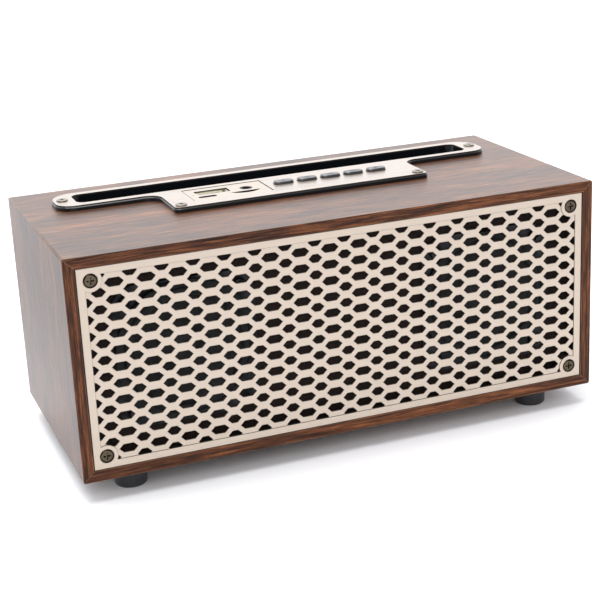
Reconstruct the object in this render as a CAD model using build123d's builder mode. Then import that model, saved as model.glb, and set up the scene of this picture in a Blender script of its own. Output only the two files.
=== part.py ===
from build123d import *
from build123d.topology import SkipClean
import os

# Retro tabletop wireless speaker: a wood-wrapped cabinet with a pierced full-face grille, two full-range
# drivers behind it, and a T-shaped control unit let into the top, with a phone slot, sockets and buttons.
# Frame: origin on the table under the middle of the cabinet, +Z up, the grille faces -Y. Millimetres.

os.makedirs("parts", exist_ok=True)

# ---------------------------------------------------------------- driving dimensions

# Cabinet
width = 220.0
depth = 102.0
height = 88.8
wall = 4.4
edge_round = 0.8
foot_height = 9.0
assembly_gap = 0.2

bottom_z = foot_height
top_z = foot_height + height
middle_z = foot_height + height / 2
floor_z = bottom_z + wall
front_y = -depth / 2
rear_y = depth / 2
inner_width = width - 2 * wall
inner_height = height - 2 * wall

# Feet
foot_radius = 6.8
foot_spacing_x = 177.4
foot_spacing_y = 75.2
foot_head_z = 4.5
foot_well_gap = 0.6
foot_taper = 0.4
foot_base_round = 1.0

# Grille
grille_width = 210.4
grille_height = 79.5
grille_inset = 0.2
grille_thickness = 1.1
field_width = 204.4
field_height = 73.8
field_recess = 0.25
skirt_depth = 6.0
skirt_wall = 1.8
skirt_gap = 0.1
seat_gap = 0.05
pitch_x = 12.178
pitch_z = 6.61
hole_height = 3.4
large_hole_length = 7.4
small_hole_length = 5.7
large_columns = 18
large_rows = 11
small_columns = 17
small_rows = 12
corner_pad_radius = 4.4
corner_screw_x = 100.05
corner_screw_z = 34.8

grille_front_y = front_y + grille_inset
grille_back_y = grille_front_y + grille_thickness
baffle_front_y = grille_back_y + skirt_depth + skirt_gap

# Baffle, battens and rear panel
baffle_thickness = 6.0
baffle_back_y = baffle_front_y + baffle_thickness
batten_size = 11.0
rear_panel_thickness = 4.0
rear_panel_inset = 2.5
rear_panel_back_y = rear_y - rear_panel_inset
rear_panel_front_y = rear_panel_back_y - rear_panel_thickness
batten_length = rear_panel_front_y - baffle_back_y

# Bass port
port_z = middle_z + 2.0
port_radius = 12.5
port_wall = 1.8
port_flange_radius = 18.5
port_flange_thickness = 1.6
port_length = 30.0
port_mouth_depth = 2.0

# Screws
screw_clearance = 0.1
head_round_share = 0.45
recess_depth_share = 0.6
recess_length_share = 1.1
recess_width_share = 0.26
tip_chamfer_share = 0.6
corner_head_radius = 2.6
corner_head_height = 1.5
corner_shank_radius = 1.4
corner_screw_length = 22.0
plate_head_radius = 2.4
plate_head_height = 0.55
plate_shank_radius = 1.1
plate_screw_length = 6.6
driver_head_radius = 2.6
driver_head_height = 1.5
driver_shank_radius = 1.4
driver_screw_length = 6.0
board_head_radius = 1.9
board_head_height = 1.1
board_shank_radius = 0.9
board_screw_length = 8.0

# Control unit: the long bar holds the phone slot, the leg holds the sockets and the buttons
bar_half_length = 96.2
bar_front_y = 13.7
bar_rear_y = 34.8
leg_half_length = 55.0
leg_front_y = -11.5
bar_rear_round = 9.5
bar_front_round = 7.0
leg_inner_round = 6.0
leg_front_round = 2.0
housing_overhang = 0.4
housing_bevel = 0.35
flange_thickness = 1.7
plate_thickness = 0.6
flange_top_z = top_z + flange_thickness
plate_top_z = flange_top_z + plate_thickness
slot_half_length = 87.8
slot_front_y = 17.0
slot_rear_y = 31.5
slot_round = 3.5
tray_wall = 1.2
tray_floor_z = top_z - 9.5
tray_floor_thickness = 1.6
bar_screw = (92.6, 24.2)
leg_screw = (51.8, -8.3)

# Cut-out in the top panel that the control unit drops through
cutout_gap = 0.4
cutout_leg_half_length = 47.2
cutout_leg_front_y = -5.8

# Port insert
insert_left_x = -45.2
insert_right_x = -11.3
insert_front_y = -5.2
insert_rear_y = 14.0
insert_round = 0.6
insert_gap = 0.35
insert_top_z = plate_top_z - 0.2
insert_ledge_z = flange_top_z - 1.0
insert_ledge = 1.2
socket_top_z = insert_top_z - 0.4

# Sockets, as (centre x, centre y) and sizes
usb_centre = (-34.1, 6.9)
usb_opening = (14.2, 5.9)
usb_shell_size = (13.1, 5.7)
usb_shell_wall = 0.35
usb_tongue_size = (11.1, 1.8)
usb_tongue_base = 3.0
usb_tongue_offset = 1.0
usb_tongue_drop = 1.0
usb_tongue_gap = 0.1
micro_usb_centre = (-38.1, 0.0)
micro_usb_opening = (7.8, 2.5)
micro_usb_size = (7.4, 2.2)
micro_usb_wall = 0.25
micro_usb_depth = 5.0
micro_usb_tongue = (3.5, 0.5)
jack_centre = (-19.9, 5.4)
jack_opening_radius = 2.7
jack_barrel_radius = 2.6
jack_bore_radius = 1.8
jack_body_size = (7.0, 6.0)
jack_bore_depth = 14.0
jack_body_drop = 0.3
card_centre_x = -21.5
card_rear_y = 1.0
card_half_length = 6.5
card_notch_depth = 3.0
card_body_size = (14.6, 2.4)
card_body_setback = 0.6
card_mouth_size = (11.4, 0.9)
card_mouth_depth = 12.0
light_centre = (-43.1, 4.3)
light_radius = 0.7
light_tip_gap = 0.05
light_shoulder = 0.1
light_shoulder_drop = 0.2

# Buttons
button_size = (8.4, 4.4)
button_round = 1.9
button_top_round = 0.5
button_pitch = 10.45
button_centre_x = 17.1
button_y = 4.0
button_proud = 1.2
button_gap = 0.2
button_flange = 0.7
button_flange_thickness = 0.8
button_stem_radius = 1.3
button_stem_gap = 0.1
button_travel = 0.4
button_names = ("power", "back", "play", "next", "mode")

# Control board
board_half_length = 46.0
board_front_y = -5.5
board_rear_y = 14.6
board_thickness = 1.6
board_top_z = socket_top_z - 13.7
board_bottom_z = board_top_z - board_thickness
board_posts = [(x, y) for x in (-9.3, 44.0) for y in (-3.4, 12.4)]
board_post_radius = 2.0
switch_size = 6.0
switch_body_height = 3.5
switch_plunger_radius = 1.7
switch_plunger_height = 1.5
speaker_connectors = [(-38.0, 5.0), (38.0, 5.0)]
battery_connector = (-8.0, 4.5)
connector_size = (7.5, 5.5)
connector_height = 5.0
lead_end_gap = 0.05
lead_end_z = board_bottom_z - connector_height - lead_end_gap
radio_centre = (6.0, 4.5)
radio_size = (14.0, 12.0)
amplifier_centre = (26.0, 4.5)
amplifier_size = (7.0, 7.0)
chip_height = 1.8
capacitor_points = [(-24.0, 8.0), (-16.0, 8.0)]
capacitor_radius = 3.15
capacitor_height = 7.0

# Battery
cell_radius = 9.2
cell_length = 65.2
cell_y = 22.0
cell_crimp = 1.2
cell_edge_round = 0.6
cell_terminal_radius = 3.0
cradle_base = 2.0
cradle_wall = 2.0
cradle_rise = 2.0
cell_gap = 0.3
cell_z = floor_z + cradle_base + cell_radius + cell_gap
battery_lead_radius = 1.1
battery_lead_lift = 1.2
battery_lead_inset = 4.0
battery_lead_bend = (10.0, 13.0, 52.0)

# Drivers: radii, and depths measured rearward from the front face of the baffle
driver_x = 64.0
driver_frame_size = 57.0
driver_frame_round = 10.0
driver_screw_offset = 22.5
basket_thickness = 0.8
basket_radius = 25.0
basket_mouth_depth = 3.0
basket_outer_mouth_depth = 3.5
flange_depth = -1.0
shelf_depth = 11.2
shelf_outer_radius = 18.2
shelf_corner = 0.4
shelf_inner_radius = 15.2
basket_floor_depth = 16.0
coil_hole_radius = 8.2
window_size = (16.0, 22.0)
window_inset = 3.0
window_start_depth = 4.4
window_height = 5.6
front_plate_radius = 14.0
front_plate_thickness = 3.0
gap_outer_radius = 7.7
magnet_radius = 16.0
magnet_bore_radius = 9.0
magnet_thickness = 7.0
yoke_radius = 14.5
yoke_thickness = 3.0
pole_radius = 6.2
pole_drop = 0.2
former_inner_radius = 6.5
former_outer_radius = 6.7
coil_outer_radius = 7.3
coil_length = 4.2
cone_rim_radius = 21.6
cone_rim_depth = -1.6
cone_neck_depth = 8.5
cone_thickness = 0.5
cone_joint_gap = 0.03
cap_radius = 9.5
cap_rise = 3.2
cap_thickness = 0.4
surround_inner_gap = 0.15
surround_roll_start = 22.0
surround_roll_radius = 1.5
surround_outer_radius = 27.6
surround_thickness = 0.4
gasket_inner_radius = 25.4
gasket_outer_radius = 28.2
gasket_thickness = 1.0
spider_thickness = 0.4
spider_crest = 0.7
spider_radii = [7.2, 8.4, 9.6, 10.8, 12.0, 13.2, 14.4, 15.0, 17.4]
terminal_size = (9.0, 7.6)
terminal_offset = 18.2
terminal_thickness = 1.0
speaker_lead_radius = 0.9
speaker_lead_start = (2.2, 20.0)
speaker_lead_bend = (52.0, -10.0, 74.0)
baffle_hole_radius = 26.2


# ---------------------------------------------------------------- planes and small helpers


def front_plane(y, x=0.0, z=middle_z):
    """Sketch plane seen from the front: x to the right, y up, extrusions come forward."""
    return Plane(origin=(x, y, z), x_dir=(1, 0, 0), z_dir=(0, -1, 0))


def rear_plane(y, x=0.0, z=middle_z):
    """Sketch plane whose extrusions go rearward, with its y axis down."""
    return Plane(origin=(x, y, z), x_dir=(1, 0, 0), z_dir=(0, 1, 0))


def level(z):
    """Horizontal sketch plane at height z."""
    return Plane.XY.offset(z)


def underside(x, y, z):
    """Plane at a point, facing down."""
    return Plane(origin=(x, y, z), x_dir=(1, 0, 0), z_dir=(0, 0, -1))


def mirrored_points(x, y):
    """The four points at plus and minus x and y."""
    return [(side_x * x, side_y * y) for side_x in (-1, 1) for side_y in (-1, 1)]


def cross_screw(head_radius, head_height, shank_radius, length):
    """A cross-recessed screw: the head stands on z = 0, the shank runs down to z = -length."""
    with BuildPart() as screw:
        with BuildSketch(level(head_height)):
            Circle(head_radius)
        extrude(amount=-head_height)
        fillet(screw.faces().sort_by(Axis.Z)[-1].edges(), head_height * head_round_share)
        with BuildSketch(level(head_height)):
            Rectangle(head_radius * recess_length_share, head_radius * recess_width_share)
            Rectangle(head_radius * recess_width_share, head_radius * recess_length_share)
        extrude(amount=-head_height * recess_depth_share, mode=Mode.SUBTRACT)
        with BuildSketch(level(0)):
            Circle(shank_radius)
        extrude(amount=-length)
        chamfer(screw.faces().sort_by(Axis.Z)[0].edges(), shank_radius * tip_chamfer_share)
    return screw.part


def swept_lead(points, start, end, radius):
    """A round cable through the points, leaving along start and arriving along end."""
    with BuildPart() as lead:
        with BuildLine() as path:
            Spline(*points, tangents=(start, end))
        with BuildSketch(Plane(origin=path.line @ 0, z_dir=path.line % 0)):
            Circle(radius)
        sweep()
    return lead.part


# ---------------------------------------------------------------- cabinet panels


def cabinet_panel(wedge):
    """One mitred panel: the part of the rounded cabinet ring that lies inside the wedge."""
    with BuildPart() as panel:
        with BuildSketch(front_plane(0)):
            RectangleRounded(width, height, edge_round)
            Rectangle(inner_width, inner_height, mode=Mode.SUBTRACT)
            with BuildLine():
                Polyline(*wedge, close=True)
            make_face(mode=Mode.INTERSECT)
        extrude(amount=depth / 2, both=True)
    return panel.part


mitre_x = width / 2 - height / 2
top_wedge = [
    (-width / 2, height / 2),
    (width / 2, height / 2),
    (mitre_x, 0),
    (-mitre_x, 0),
]
side_wedge = [(width / 2, height / 2), (mitre_x, 0), (width / 2, -height / 2)]
top_blank = cabinet_panel(top_wedge)
bottom_blank = cabinet_panel([(x, -y) for x, y in top_wedge])
right_blank = cabinet_panel(side_wedge)
left_blank = cabinet_panel([(-x, y) for x, y in side_wedge])

with BuildPart() as cabinet_top:
    add(top_blank)
    with BuildSketch(level(top_z)):
        slot_middle_y = (slot_front_y + slot_rear_y) / 2
        with Locations((0, slot_middle_y)):
            RectangleRounded(
                2 * (slot_half_length + tray_wall + cutout_gap),
                slot_rear_y - slot_front_y + 2 * (tray_wall + cutout_gap),
                slot_round,
            )
        with Locations((0, cutout_leg_front_y)):
            Rectangle(
                2 * cutout_leg_half_length,
                slot_middle_y - cutout_leg_front_y,
                align=(Align.CENTER, Align.MIN),
            )
        with Locations(*[(side * x, y) for x, y in (bar_screw, leg_screw) for side in (-1, 1)]):
            Circle(plate_shank_radius + screw_clearance)
    extrude(amount=-wall, mode=Mode.SUBTRACT)
cabinet_top.part.label = "cabinet_top"
export_step(cabinet_top.part, "parts/cabinet_top.step")

with BuildPart() as cabinet_bottom:
    add(bottom_blank)
    with BuildSketch(level(bottom_z)):
        with GridLocations(foot_spacing_x, foot_spacing_y, 2, 2):
            Circle(corner_shank_radius + screw_clearance)
    extrude(amount=wall, mode=Mode.SUBTRACT)
cabinet_bottom.part.label = "cabinet_bottom"
export_step(cabinet_bottom.part, "parts/cabinet_bottom.step")

with BuildPart() as cabinet_left_side:
    add(left_blank)
cabinet_left_side.part.label = "cabinet_left_side"
export_step(cabinet_left_side.part, "parts/cabinet_left_side.step")

with BuildPart() as cabinet_right_side:
    add(right_blank)
cabinet_right_side.part.label = "cabinet_right_side"
export_step(cabinet_right_side.part, "parts/cabinet_right_side.step")


# ---------------------------------------------------------------- battens, baffle and rear panel

corner_points = mirrored_points(corner_screw_x, corner_screw_z)

with BuildPart() as corner_battens:
    with BuildSketch(rear_plane(baffle_back_y)):
        with GridLocations(inner_width - batten_size, inner_height - batten_size, 2, 2):
            Rectangle(batten_size, batten_size)
        with Locations(*corner_points):
            Circle(corner_shank_radius + screw_clearance, mode=Mode.SUBTRACT)
    extrude(amount=batten_length)
corner_battens.part.label = "corner_battens"
export_step(corner_battens.part, "parts/corner_battens.step")

with BuildPart() as baffle_board:
    with BuildSketch(rear_plane(baffle_front_y)):
        Rectangle(inner_width - 2 * assembly_gap, inner_height - 2 * assembly_gap)
        with Locations(*corner_points):
            Circle(corner_shank_radius + screw_clearance, mode=Mode.SUBTRACT)
        with Locations((-driver_x, 0), (driver_x, 0)):
            Circle(baffle_hole_radius, mode=Mode.SUBTRACT)
            with GridLocations(2 * driver_screw_offset, 2 * driver_screw_offset, 2, 2):
                Circle(driver_shank_radius + screw_clearance, mode=Mode.SUBTRACT)
    extrude(amount=baffle_thickness)
baffle_board.part.label = "baffle_board"
export_step(baffle_board.part, "parts/baffle_board.step")

with BuildPart() as rear_panel:
    with BuildSketch(rear_plane(rear_panel_front_y)):
        Rectangle(inner_width - 2 * assembly_gap, inner_height - 2 * assembly_gap)
        with Locations(*corner_points):
            Circle(corner_shank_radius + screw_clearance, mode=Mode.SUBTRACT)
        with Locations((0, middle_z - port_z)):
            Circle(port_radius + port_wall + assembly_gap, mode=Mode.SUBTRACT)
    extrude(amount=rear_panel_thickness)
rear_panel.part.label = "rear_panel"
export_step(rear_panel.part, "parts/rear_panel.step")

with BuildPart() as bass_port:
    tube_outer = port_radius + port_wall
    flange_middle = port_flange_thickness / 2
    with BuildSketch(Plane.XY):
        with BuildLine():
            Polyline(
                (port_radius, -port_length),
                (tube_outer, -port_length),
                (tube_outer, 0),
                (port_flange_radius, 0),
                (port_flange_radius, flange_middle),
                (port_flange_radius - flange_middle, port_flange_thickness),
                (tube_outer, port_flange_thickness),
            )
            ThreePointArc(
                (tube_outer, port_flange_thickness),
                (port_radius + 0.3 * port_wall, 0.3 * port_flange_thickness),
                (port_radius, -port_mouth_depth),
            )
            Line((port_radius, -port_mouth_depth), (port_radius, -port_length))
        make_face()
    revolve(axis=Axis.Y)
bass_port.part.position = (0, rear_panel_back_y, port_z)
bass_port.part.label = "bass_port"
export_step(bass_port.part, "parts/bass_port.step")


# ---------------------------------------------------------------- grille


def hexagon_points(length):
    """A flat-topped hexagon hole with 45 degree ends, length from tip to tip."""
    half = length / 2
    rise = hole_height / 2
    return [
        (-half, 0),
        (rise - half, rise),
        (half - rise, rise),
        (half, 0),
        (half - rise, -rise),
        (rise - half, -rise),
    ]


with BuildSketch() as lattice_openings:
    # large and small holes in alternate columns, clear of the pads round the corner screws
    with GridLocations(pitch_x, pitch_z, large_columns, large_rows):
        Polygon(*hexagon_points(large_hole_length))
    with GridLocations(pitch_x, pitch_z, small_columns, small_rows):
        Polygon(*hexagon_points(small_hole_length))
    with Locations(*corner_points):
        Circle(corner_pad_radius)


def lattice_strip(low, high):
    """A pierced strip of the lattice field between two heights measured from the grille's middle."""
    with BuildPart() as strip:
        with BuildSketch(front_plane(grille_back_y)):
            with Locations((0, (low + high) / 2)):
                Rectangle(field_width, high - low)
            add(lattice_openings.sketch, mode=Mode.SUBTRACT)
        extrude(amount=grille_thickness - field_recess)
    return strip.part


row_lines = [pitch_z * (row - (large_rows - 1) / 2) for row in range(large_rows)]
strip_edges = [-field_height / 2, *row_lines, field_height / 2]

with BuildPart() as grille:
    # border, with a skirt round its edge and a boss at each corner that stand on the baffle
    with BuildSketch(front_plane(grille_back_y)):
        Rectangle(grille_width, grille_height)
        Rectangle(field_width, field_height, mode=Mode.SUBTRACT)
        with Locations(*corner_points):
            Circle(corner_pad_radius)
    extrude(amount=grille_thickness)
    with BuildSketch(front_plane(grille_back_y)):
        Rectangle(grille_width, grille_height)
        Rectangle(grille_width - 2 * skirt_wall, grille_height - 2 * skirt_wall, mode=Mode.SUBTRACT)
        with Locations(*corner_points):
            Circle(corner_pad_radius)
    extrude(amount=-skirt_depth)
    with Locations(*[front_plane(grille_front_y, x, middle_z + z) for x, z in corner_points]):
        CounterBoreHole(
            corner_shank_radius + screw_clearance,
            corner_head_radius + 2 * screw_clearance,
            corner_head_height + seat_gap,
            grille_thickness + skirt_depth,
        )
    # the lattice field lies slightly below the border, in strips that meet along the rows of large holes
    with SkipClean():
        add([lattice_strip(low, high) for low, high in zip(strip_edges, strip_edges[1:])])
grille.part.label = "grille"
export_step(grille.part, "parts/grille.step")


# ---------------------------------------------------------------- cabinet screws and feet

corner_screw = cross_screw(
    corner_head_radius, corner_head_height, corner_shank_radius, corner_screw_length
)

with BuildPart() as grille_screws:
    seat_y = grille_front_y + corner_head_height
    with Locations(*[front_plane(seat_y, x, middle_z + z) for x, z in corner_points]):
        add(corner_screw)
grille_screws.part.label = "grille_screws"
export_step(grille_screws.part, "parts/grille_screws.step")

with BuildPart() as rear_panel_screws:
    with Locations(*[rear_plane(rear_panel_back_y, x, middle_z + z) for x, z in corner_points]):
        add(corner_screw)
rear_panel_screws.part.label = "rear_panel_screws"
export_step(rear_panel_screws.part, "parts/rear_panel_screws.step")

with BuildPart() as foot_template:
    foot_bore_radius = corner_shank_radius + screw_clearance
    foot_well_radius = corner_head_radius + foot_well_gap
    foot_side = (foot_radius - foot_taper, foot_base_round)
    foot_sole = (foot_radius - foot_taper - foot_base_round, 0)
    with BuildSketch(Plane.XZ):
        with BuildLine():
            Polyline(
                (foot_bore_radius, foot_height),
                (foot_bore_radius, foot_head_z),
                (foot_well_radius, foot_head_z),
                (foot_well_radius, 0),
                foot_sole,
            )
            RadiusArc(foot_sole, foot_side, -foot_base_round)
            Polyline(foot_side, (foot_radius, foot_height), (foot_bore_radius, foot_height))
        make_face()
    revolve(axis=Axis.Z)

with BuildPart() as feet:
    with GridLocations(foot_spacing_x, foot_spacing_y, 2, 2):
        add(foot_template.part)
feet.part.label = "feet"
export_step(feet.part, "parts/feet.step")

foot_screw = cross_screw(
    corner_head_radius, corner_head_height, corner_shank_radius, floor_z - foot_head_z
)

with BuildPart() as foot_screws:
    foot_points = mirrored_points(foot_spacing_x / 2, foot_spacing_y / 2)
    with Locations(*[underside(x, y, foot_head_z) for x, y in foot_points]):
        add(foot_screw)
foot_screws.part.label = "foot_screws"
export_step(foot_screws.part, "parts/foot_screws.step")


# ---------------------------------------------------------------- control unit


def control_outline(growth):
    """The T-shaped outline of the control unit, grown outward by growth."""
    corners = [
        (-bar_half_length - growth, bar_rear_y + growth),
        (bar_half_length + growth, bar_rear_y + growth),
        (bar_half_length + growth, bar_front_y - growth),
        (leg_half_length + growth, bar_front_y - growth),
        (leg_half_length + growth, leg_front_y - growth),
        (-leg_half_length - growth, leg_front_y - growth),
        (-leg_half_length - growth, bar_front_y - growth),
        (-bar_half_length - growth, bar_front_y - growth),
    ]
    outer = [bar_rear_round + growth] * 2
    right = [bar_front_round + growth, leg_inner_round - growth, leg_front_round + growth]
    with BuildSketch() as outline:
        with BuildLine():
            FilletPolyline(*corners, radius=outer + right + right[::-1], close=True)
        make_face()
    return outline.sketch


def insert_outline(growth):
    """The rectangle of the port insert, grown outward by growth."""
    with BuildSketch() as outline:
        with Locations(((insert_left_x + insert_right_x) / 2, (insert_front_y + insert_rear_y) / 2)):
            RectangleRounded(
                insert_right_x - insert_left_x + 2 * growth,
                insert_rear_y - insert_front_y + 2 * growth,
                insert_round,
            )
    return outline.sketch


def slot_outline(growth):
    """The phone slot, grown outward by growth."""
    with BuildSketch() as outline:
        with Locations((0, (slot_front_y + slot_rear_y) / 2)):
            RectangleRounded(
                2 * (slot_half_length + growth),
                slot_rear_y - slot_front_y + 2 * growth,
                slot_round + growth,
            )
    return outline.sketch


button_points = [(button_centre_x + (index - 2) * button_pitch, button_y) for index in range(5)]


def button_holes():
    """The five button openings."""
    with BuildSketch() as outline:
        with Locations(*button_points):
            RectangleRounded(
                button_size[0] + 2 * button_gap,
                button_size[1] + 2 * button_gap,
                button_round + button_gap,
            )
    return outline.sketch


plate_outline = control_outline(0)
housing_outline = control_outline(housing_overhang)
insert_hole = insert_outline(0)
insert_body = insert_outline(-insert_gap)
insert_window = insert_outline(-insert_ledge)
slot_inside = slot_outline(0)
slot_outside = slot_outline(tray_wall)
button_openings = button_holes()
control_screw_points = [(side * x, y) for x, y in (bar_screw, leg_screw) for side in (-1, 1)]

with BuildPart() as control_housing:
    # flange on the wood, with a bevelled top edge
    with BuildSketch(level(top_z)):
        add(housing_outline)
    extrude(amount=flange_thickness)
    chamfer(control_housing.faces().sort_by(Axis.Z)[-1].outer_wire().edges(), housing_bevel)
    # phone tray hanging through the cut-out
    with BuildSketch(level(top_z)):
        add(slot_outside)
    extrude(amount=tray_floor_z - tray_floor_thickness - top_z)
    with BuildSketch(level(flange_top_z)):
        add(slot_inside)
    extrude(amount=tray_floor_z - flange_top_z, mode=Mode.SUBTRACT)
    # ledge for the port insert, and the button openings
    with BuildSketch(level(flange_top_z)):
        add(insert_hole)
    extrude(amount=insert_ledge_z - flange_top_z, mode=Mode.SUBTRACT)
    with BuildSketch(level(flange_top_z)):
        add(insert_window)
        add(button_openings)
    extrude(amount=-flange_thickness, mode=Mode.SUBTRACT)
    # posts for the control board
    with BuildSketch(level(board_top_z)):
        with Locations(*board_posts):
            Circle(board_post_radius)
    extrude(until=Until.NEXT)
    with BuildSketch(level(board_top_z)):
        with Locations(*board_posts):
            Circle(board_shank_radius + screw_clearance)
    extrude(amount=board_screw_length, mode=Mode.SUBTRACT)
    with BuildSketch(level(flange_top_z)):
        with Locations(*control_screw_points):
            Circle(plate_shank_radius + screw_clearance)
    extrude(amount=-flange_thickness, mode=Mode.SUBTRACT)
control_housing.part.label = "control_housing"
export_step(control_housing.part, "parts/control_housing.step")

with BuildPart() as control_plate:
    with BuildSketch(level(flange_top_z)):
        add(plate_outline)
        add(slot_inside, mode=Mode.SUBTRACT)
        add(insert_hole, mode=Mode.SUBTRACT)
        add(button_openings, mode=Mode.SUBTRACT)
        with Locations(*control_screw_points):
            Circle(plate_shank_radius + screw_clearance, mode=Mode.SUBTRACT)
    extrude(amount=plate_thickness)
control_plate.part.label = "control_plate"
export_step(control_plate.part, "parts/control_plate.step")

plate_screw = cross_screw(
    plate_head_radius, plate_head_height, plate_shank_radius, plate_screw_length
)

with BuildPart() as control_plate_screws:
    with Locations(*[(x, y, plate_top_z) for x, y in control_screw_points]):
        add(plate_screw)
control_plate_screws.part.label = "control_plate_screws"
export_step(control_plate_screws.part, "parts/control_plate_screws.step")


# ---------------------------------------------------------------- port insert and sockets

with BuildPart() as port_insert:
    with BuildSketch(level(insert_ledge_z)):
        add(insert_body)
        with Locations(usb_centre):
            Rectangle(*usb_opening, mode=Mode.SUBTRACT)
        with Locations(micro_usb_centre):
            SlotOverall(*micro_usb_opening, mode=Mode.SUBTRACT)
        with Locations(jack_centre):
            Circle(jack_opening_radius, mode=Mode.SUBTRACT)
        with Locations(light_centre):
            Circle(light_radius, mode=Mode.SUBTRACT)
        # card mouth: straight at the rear, bowed at the front for a fingertip
        with BuildLine():
            card_left = (card_centre_x - card_half_length, card_rear_y)
            card_right = (card_centre_x + card_half_length, card_rear_y)
            Line(card_left, card_right)
            ThreePointArc(card_right, (card_centre_x, card_rear_y - card_notch_depth), card_left)
        make_face(mode=Mode.SUBTRACT)
    extrude(amount=insert_top_z - insert_ledge_z)
port_insert.part.label = "port_insert"
export_step(port_insert.part, "parts/port_insert.step")

with BuildPart() as usb_shell:
    with BuildSketch(Plane(origin=(*usb_centre, board_top_z))):
        Rectangle(*usb_shell_size)
        Rectangle(
            usb_shell_size[0] - 2 * usb_shell_wall,
            usb_shell_size[1] - 2 * usb_shell_wall,
            mode=Mode.SUBTRACT,
        )
    extrude(amount=socket_top_z - board_top_z)
usb_shell.part.label = "usb_shell"
export_step(usb_shell.part, "parts/usb_shell.step")

with BuildPart() as usb_tongue:
    tongue_z = board_top_z + usb_tongue_base
    with BuildSketch(Plane(origin=(*usb_centre, board_top_z))):
        Rectangle(
            usb_shell_size[0] - 2 * usb_shell_wall - usb_tongue_gap,
            usb_shell_size[1] - 2 * usb_shell_wall - usb_tongue_gap,
        )
    extrude(amount=usb_tongue_base)
    with BuildSketch(Plane(origin=(usb_centre[0], usb_centre[1] + usb_tongue_offset, tongue_z))):
        Rectangle(*usb_tongue_size)
    extrude(amount=socket_top_z - usb_tongue_drop - tongue_z)
usb_tongue.part.label = "usb_tongue"
export_step(usb_tongue.part, "parts/usb_tongue.step")

with BuildPart() as micro_usb_socket:
    with BuildSketch(Plane(origin=(*micro_usb_centre, board_top_z))):
        SlotOverall(*micro_usb_size)
    extrude(amount=socket_top_z - board_top_z)
    with BuildSketch(Plane(origin=(*micro_usb_centre, socket_top_z))):
        SlotOverall(
            micro_usb_size[0] - 2 * micro_usb_wall,
            micro_usb_size[1] - 2 * micro_usb_wall,
        )
        Rectangle(*micro_usb_tongue, mode=Mode.SUBTRACT)
    extrude(amount=-micro_usb_depth, mode=Mode.SUBTRACT)
micro_usb_socket.part.label = "micro_usb_socket"
export_step(micro_usb_socket.part, "parts/micro_usb_socket.step")

with BuildPart() as headphone_jack:
    jack_body_top_z = insert_ledge_z - jack_body_drop
    with BuildSketch(Plane(origin=(*jack_centre, board_top_z))):
        Rectangle(*jack_body_size)
    extrude(amount=jack_body_top_z - board_top_z)
    with BuildSketch(Plane(origin=(*jack_centre, jack_body_top_z))):
        Circle(jack_barrel_radius)
    extrude(amount=insert_top_z - jack_body_top_z)
    with BuildSketch(Plane(origin=(*jack_centre, insert_top_z))):
        Circle(jack_bore_radius)
    extrude(amount=-jack_bore_depth, mode=Mode.SUBTRACT)
headphone_jack.part.label = "headphone_jack"
export_step(headphone_jack.part, "parts/headphone_jack.step")

with BuildPart() as card_socket:
    card_body_y = card_rear_y - card_body_setback
    with BuildSketch(Plane(origin=(card_centre_x, card_body_y, board_top_z))):
        Rectangle(*card_body_size)
    extrude(amount=insert_ledge_z - board_top_z)
    with BuildSketch(Plane(origin=(card_centre_x, card_body_y, insert_ledge_z))):
        Rectangle(*card_mouth_size)
    extrude(amount=-card_mouth_depth, mode=Mode.SUBTRACT)
card_socket.part.label = "card_socket"
export_step(card_socket.part, "parts/card_socket.step")

with BuildPart() as status_light:
    light_shoulder_z = insert_ledge_z - light_shoulder_drop
    with BuildSketch(Plane(origin=(*light_centre, board_top_z))):
        Circle(light_radius + light_shoulder)
    extrude(amount=light_shoulder_z - board_top_z)
    with BuildSketch(Plane(origin=(*light_centre, light_shoulder_z))):
        Circle(light_radius - light_tip_gap)
    extrude(amount=insert_top_z - light_shoulder_z)
status_light.part.label = "status_light"
export_step(status_light.part, "parts/status_light.step")


# ---------------------------------------------------------------- buttons and control board

switch_top_z = board_top_z + switch_body_height + switch_plunger_height
stem_bottom_z = switch_top_z + button_travel + button_stem_gap
button_flange_top_z = top_z - assembly_gap

with BuildPart() as button_template:
    # cap through the plate, with a softly rounded top
    with BuildSketch(level(button_flange_top_z)):
        RectangleRounded(*button_size, button_round)
    extrude(amount=plate_top_z + button_proud - button_flange_top_z)
    fillet(button_template.faces().sort_by(Axis.Z)[-1].edges(), button_top_round)
    # retaining flange under the housing
    with BuildSketch(level(button_flange_top_z)):
        RectangleRounded(
            button_size[0] + 2 * button_flange,
            button_size[1] + 2 * button_flange,
            button_round + button_flange,
        )
    extrude(amount=-button_flange_thickness)
    # stem down to the switch
    with BuildSketch(level(stem_bottom_z)):
        Circle(button_stem_radius)
    extrude(amount=button_flange_top_z - button_flange_thickness - stem_bottom_z)

for name, (x, y) in zip(button_names, button_points):
    with BuildPart() as button:
        with Locations((x, y, 0)):
            add(button_template.part)
    button.part.label = f"{name}_button"
    export_step(button.part, f"parts/{name}_button.step")

with BuildPart() as button_switches:
    with BuildSketch(level(board_top_z)):
        with Locations(*button_points):
            Rectangle(switch_size, switch_size)
    extrude(amount=switch_body_height)
    with BuildSketch(level(board_top_z + switch_body_height)):
        with Locations(*button_points):
            Circle(switch_plunger_radius)
    extrude(amount=switch_plunger_height)
button_switches.part.label = "button_switches"
export_step(button_switches.part, "parts/button_switches.step")

with BuildPart() as control_board:
    with BuildSketch(level(board_bottom_z)):
        with Locations((0, (board_front_y + board_rear_y) / 2)):
            Rectangle(2 * board_half_length, board_rear_y - board_front_y)
        with Locations(*board_posts):
            Circle(board_shank_radius + screw_clearance, mode=Mode.SUBTRACT)
    extrude(amount=board_thickness)
control_board.part.label = "control_board"
export_step(control_board.part, "parts/control_board.step")

board_screw = cross_screw(
    board_head_radius, board_head_height, board_shank_radius, board_screw_length
)

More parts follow.
